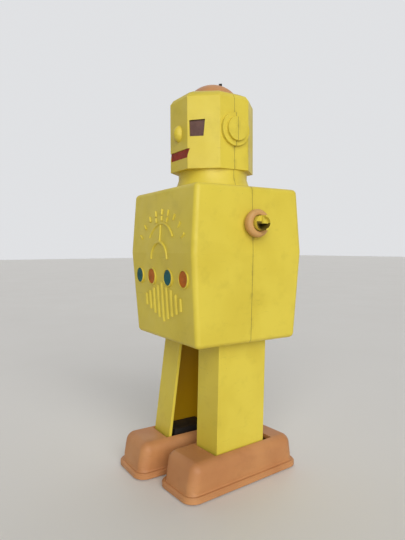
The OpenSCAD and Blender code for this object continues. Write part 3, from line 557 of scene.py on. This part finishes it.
class ROBOT_OT_shoulders(Operator):
    """Shoulder collars and the broken arm ends in them"""
    bl_idname = "robot.shoulders"
    bl_label = "Shoulders"

    def execute(self, context):
        for side in ("left", "right"):
            soft_shell("shoulder_collar_" + side, side + "_collar_ring", material("collar"), 0.6 * MM, 3)
            stub = soft_shell("arm_stub_" + side, side + "_broken_arm", material("stub_yellow"), 0.15 * MM)
            # Painted shade on the faces in the lower half of each broken arm end, inside its rim
            low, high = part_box("arm_stub_" + side)
            middle, reach = (low + high) / 2, (high.z - low.z) / 2
            mark(stub, 0.9, lambda face: face.center.z < middle.z
                 and math.hypot(face.center.y - middle.y, face.center.z - middle.z) < reach - 0.5 * MM)
        return {"FINISHED"}


class ROBOT_OT_legs(Operator):
    """Leg channels with soft upright edges and painted shade on the faces inside them"""
    bl_idname = "robot.legs"
    bl_label = "Legs"

    def execute(self, context):
        for side in ("left", "right"):
            leg = soft_shell("leg_shell_" + side, side + "_leg_channel", material("leg_yellow"),
                             settings().leg_round, 4, 50)
            # Painted shade on every face inside the leg that looks towards its axis
            mark(leg, 1.0, faces_axis(leg))
        return {"FINISHED"}


class ROBOT_OT_shoes(Operator):
    """Shoes with a soft bead round the rim"""
    bl_idname = "robot.shoes"
    bl_label = "Shoes"

    def execute(self, context):
        for side in ("left", "right"):
            soft_shell("shoe_" + side, side + "_shoe_upper", material("shoe_peach"),
                       settings().rim_round, 4, 40)
        return {"FINISHED"}


class ROBOT_OT_works(Operator):
    """Finishes on the clockwork, soles, rollers and every other piece that keeps its own shape"""
    bl_idname = "robot.works"
    bl_label = "Works and soles"

    def execute(self, context):
        for name, node in NODES.items():
            node.data.materials.clear()
            node.data.materials.append(material(FINISH_OF_SLOT[SLOT_OF[name]]))
        return {"FINISHED"}


# ---------------------------------------------------------------------------------------------------------
# Stage
# ---------------------------------------------------------------------------------------------------------

def stage_floor(colour):
    deselect_all()
    bpy.ops.mesh.primitive_plane_add(size=14.0, location=(0, 0, -0.05 * MM))
    floor = bpy.context.active_object
    floor.name = "floor"
    finish = Finish("pale_floor")
    finish.set(Specular_IOR_Level=0.25)
    tint = finish.span(finish.noise(3.0, 2.0), 0.3, 0.7)
    finish.link(finish.mix(tint, colour, tuple(0.985 * c for c in colour)), "Base Color")
    finish.link(finish.span(finish.noise(9.0, 3.0), 0.3, 0.7, 0.42, 0.5), "Roughness")
    floor.data.materials.append(finish.material)


def stage_room(colour, strength, fill):
    """A pale room that looks the same from everywhere and lights the robot mostly from behind it"""
    world = bpy.data.worlds.new("room")
    world.use_nodes = True
    nodes, links = world.node_tree.nodes, world.node_tree.links
    background = nodes["Background"]
    background.inputs["Color"].default_value = (*colour, 1.0)
    side = nodes.new("ShaderNodeVectorMath")
    side.operation = "DOT_PRODUCT"
    side.inputs[1].default_value = BRIGHT_SIDE
    links.new(nodes.new("ShaderNodeTexCoord").outputs["Generated"], side.inputs[0])
    light = nodes.new("ShaderNodeMapRange")
    light.interpolation_type = "SMOOTHSTEP"
    for socket, number in zip(("From Min", "From Max", "To Min", "To Max"), (-0.2, 0.6, fill, strength)):
        light.inputs[socket].default_value = number
    links.new(side.outputs["Value"], light.inputs["Value"])
    seen = nodes.new("ShaderNodeMix")
    links.new(nodes.new("ShaderNodeLightPath").outputs["Is Camera Ray"], seen.inputs["Factor"])
    links.new(light.outputs["Result"], seen.inputs["A"])
    seen.inputs["B"].default_value = strength
    links.new(seen.outputs["Result"], background.inputs["Strength"])
    return world


def stage_light(name, azimuth, height, strength, spread, colour=(1, 1, 1)):
    """A large distant light from an azimuth about the robot, in the views' sense, and a height in degrees"""
    light = bpy.data.lights.new(name, "SUN")
    light.energy = strength
    light.angle = math.radians(spread)
    light.color = colour
    lamp = bpy.data.objects.new(name, light)
    turn, lift = math.radians(azimuth), math.radians(height)
    towards = Vector((math.sin(turn) * math.cos(lift), -math.cos(turn) * math.cos(lift), math.sin(lift)))
    lamp.rotation_euler = towards.to_track_quat("Z", "Y").to_euler()
    bpy.context.scene.collection.objects.link(lamp)


def stage_camera():
    """Camera at the front left of the robot, a little above its middle, looking slightly down"""
    azimuth, down, roll = math.radians(57.71), math.radians(2.7), math.radians(-0.22)
    forward = Vector((-math.sin(azimuth) * math.cos(down), math.cos(azimuth) * math.cos(down),
                      -math.sin(down)))
    right = Vector((math.cos(azimuth), math.sin(azimuth), 0.0))
    up = right.cross(forward)
    rolled_right = math.cos(roll) * right + math.sin(roll) * up
    rolled_up = -math.sin(roll) * right + math.cos(roll) * up
    data = bpy.data.cameras.new("camera")
    data.sensor_width = SENSOR_WIDTH
    data.lens = CAMERA_LENS
    data.clip_start, data.clip_end = 0.01, 50.0
    camera = bpy.data.objects.new("camera", data)
    turn = Matrix((rolled_right, rolled_up, -forward)).transposed()
    stand = Vector((ROBOT_X, SEAM_Y, 0.0)) + CAMERA_FROM_ROBOT
    camera.matrix_world = Matrix.Translation(stand) @ turn.to_4x4()
    bpy.context.scene.collection.objects.link(camera)
    bpy.context.scene.camera = camera


class ROBOT_OT_stage(Operator):
    """Floor, soft light and camera"""
    bl_idname = "robot.stage"
    bl_label = "Stage"

    def execute(self, context):
        stage = context.scene.robot_stage
        stage_floor(tuple(stage.floor))
        context.scene.world = stage_room(tuple(stage.room), stage.room_strength, stage.fill_strength)
        stage_light("window", WINDOW_AZIMUTH, WINDOW_HEIGHT, stage.key_strength, WINDOW_SPREAD)
        stage_camera()
        context.scene.view_settings.view_transform = "Standard"
        return {"FINISHED"}


class ROBOT_PT_pieces(Panel):
    """Lists the robot's operators"""
    bl_idname = "ROBOT_PT_pieces"
    bl_label = "Wind-up robot"
    bl_space_type = "VIEW_3D"
    bl_region_type = "UI"
    bl_category = "Robot"

    def draw(self, context):
        for operator in OPERATORS:
            self.layout.operator(operator.bl_idname)
        for group in (context.scene.robot_plastic, context.scene.robot_stage):
            for name in type(group).__annotations__:
                self.layout.prop(group, name)


OPERATORS = (
    ROBOT_OT_works, ROBOT_OT_torso, ROBOT_OT_head, ROBOT_OT_crown, ROBOT_OT_face, ROBOT_OT_lamps,
    ROBOT_OT_shoulders, ROBOT_OT_legs, ROBOT_OT_shoes, ROBOT_OT_stage,
)
CLASSES = (RobotPlastic, RobotStage, *OPERATORS, ROBOT_PT_pieces)


def register():
    for cls in CLASSES:
        bpy.utils.register_class(cls)
    bpy.types.Scene.robot_plastic = PointerProperty(type=RobotPlastic)
    bpy.types.Scene.robot_stage = PointerProperty(type=RobotStage)


def unregister():
    del bpy.types.Scene.robot_stage
    del bpy.types.Scene.robot_plastic
    for cls in reversed(CLASSES):
        bpy.utils.unregister_class(cls)


def main():
    register()
    for operator in OPERATORS:
        category, name = operator.bl_idname.split(".")
        getattr(getattr(bpy.ops, category), name)()


if __name__ == "__main__":
    main()
